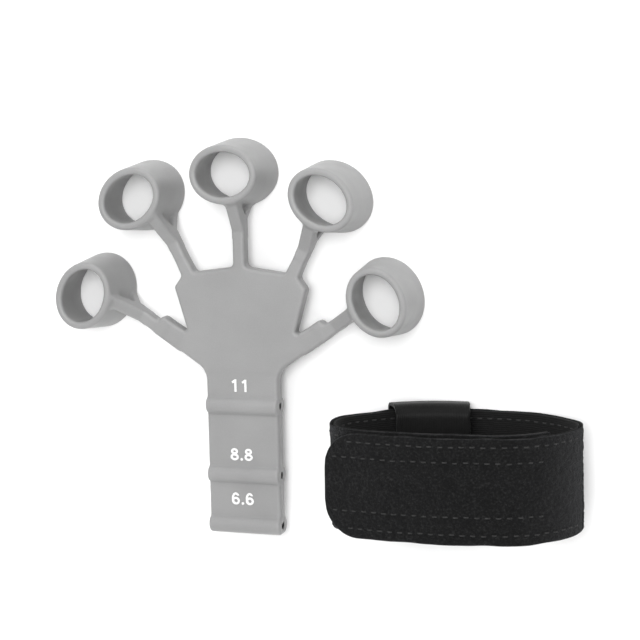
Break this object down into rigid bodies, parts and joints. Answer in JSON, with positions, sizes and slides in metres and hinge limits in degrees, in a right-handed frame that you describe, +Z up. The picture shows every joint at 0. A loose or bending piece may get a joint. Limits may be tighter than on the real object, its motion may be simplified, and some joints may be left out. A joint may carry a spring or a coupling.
{
  "type": "finger exerciser",
  "caption": "Silicone hand exerciser with finger loops and a ridged stem, lying beside its hook and loop wrist strap.",
  "frame": {"origin": "middle of the whole layout, on the table", "axes": "+X right across the palm towards the strap, +Y from the stem to the fingers, +Z up from the table, out of the printed face"},
  "size_m": [0.2044, 0.1494, 0.0528],
  "materials": {
    "silicone": "satin moulded silicone",
    "pin": "matt",
    "ink": "printed ink",
    "cloth": "brushed loop pile",
    "foam": "cut foam edge",
    "lining": "knitted lining",
    "hook": "hook tape",
    "webbing": "smooth elastic webbing"
  },
  "bodies": {
    "palm": {"palm_plate": "silicone"},
    "thumb_root": {"thumb_arm": "silicone"},
    "thumb_finger": {"thumb_loop": "silicone"},
    "index_root": {"index_arm": "silicone"},
    "index_finger": {"index_loop": "silicone"},
    "middle_root": {"middle_arm": "silicone"},
    "middle_finger": {"middle_loop": "silicone"},
    "ring_root": {"ring_arm": "silicone"},
    "ring_finger": {"ring_loop": "silicone"},
    "little_root": {"little_arm": "silicone"},
    "little_finger": {"little_loop": "silicone"},
    "neck": {"stem_neck": "silicone", "upper_ridge_pin": "pin", "upper_level_mark": "ink"},
    "stem_end": {"stem": "silicone", "middle_ridge_pin": "pin", "lower_ridge_pin": "pin", "middle_level_mark": "ink", "lower_level_mark": "ink"},
    "strap": {"strap_lining": "lining", "strap_foam": "foam", "strap_cloth": "cloth", "keeper_loop": "webbing"},
    "tail": {"tail_lining": "lining", "tail_foam": "foam", "tail_cloth": "cloth", "tail_hook_patch": "hook"}
  },
  "joints": [
    {"name": "thumb_bend", "type": "hinge", "parent": "palm", "child": "thumb_root", "pos_m": [-0.05472, 0.00002, 0.01025], "axis": [0.5592, 0.829, 0], "range_deg": [-20, 50], "stiffness_Nm_per_rad": 0.08},
    {"name": "thumb_stretch", "type": "slide", "parent": "thumb_root", "child": "thumb_finger", "axis": [-0.829, 0.5592, 0], "range_m": [0, 0.025], "stiffness_N_per_m": 400},
    {"name": "index_bend", "type": "hinge", "parent": "palm", "child": "index_root", "pos_m": [-0.05061, 0.02597, 0.01025], "axis": [0.8988, 0.4384, 0], "range_deg": [-20, 50], "stiffness_Nm_per_rad": 0.08},
    {"name": "index_stretch", "type": "slide", "parent": "index_root", "child": "index_finger", "axis": [-0.4384, 0.8988, 0], "range_m": [0, 0.025], "stiffness_N_per_m": 400},
    {"name": "middle_bend", "type": "hinge", "parent": "palm", "child": "middle_root", "pos_m": [-0.02903, 0.02901, 0.01025], "axis": [1, 0, 0], "range_deg": [-20, 50], "stiffness_Nm_per_rad": 0.08},
    {"name": "middle_stretch", "type": "slide", "parent": "middle_root", "child": "middle_finger", "axis": [0, 1, 0], "range_m": [0, 0.025], "stiffness_N_per_m": 400},
    {"name": "ring_bend", "type": "hinge", "parent": "palm", "child": "ring_root", "pos_m": [-0.00746, 0.02597, 0.01025], "axis": [0.8988, -0.4384, 0], "range_deg": [-20, 50], "stiffness_Nm_per_rad": 0.08},
    {"name": "ring_stretch", "type": "slide", "parent": "ring_root", "child": "ring_finger", "axis": [0.4384, 0.8988, 0], "range_m": [0, 0.025], "stiffness_N_per_m": 400},
    {"name": "little_bend", "type": "hinge", "parent": "palm", "child": "little_root", "pos_m": [-0.00335, 0.00002, 0.01025], "axis": [0.5592, -0.829, 0], "range_deg": [-20, 50], "stiffness_Nm_per_rad": 0.08},
    {"name": "little_stretch", "type": "slide", "parent": "little_root", "child": "little_finger", "axis": [0.829, 0.5592, 0], "range_m": [0, 0.025], "stiffness_N_per_m": 400},
    {"name": "stem_bend", "type": "hinge", "parent": "palm", "child": "neck", "pos_m": [-0.02903, -0.01419, 0.01025], "axis": [-1, 0, 0], "range_deg": [-20, 60], "stiffness_Nm_per_rad": 0.3},
    {"name": "stem_stretch", "type": "slide", "parent": "neck", "child": "stem_end", "axis": [0, -1, 0], "range_m": [0, 0.03], "stiffness_N_per_m": 1200},
    {"name": "strap_slide", "type": "slide", "parent": "palm", "child": "strap", "axis": [1, 0, 0], "range_m": [0, 0.08]},
    {"name": "tail_peel", "type": "hinge", "parent": "strap", "child": "tail", "pos_m": [0.10213, -0.04474, 0.02266], "axis": [0, 1, 0], "range_deg": [0, 95]}
  ]
}
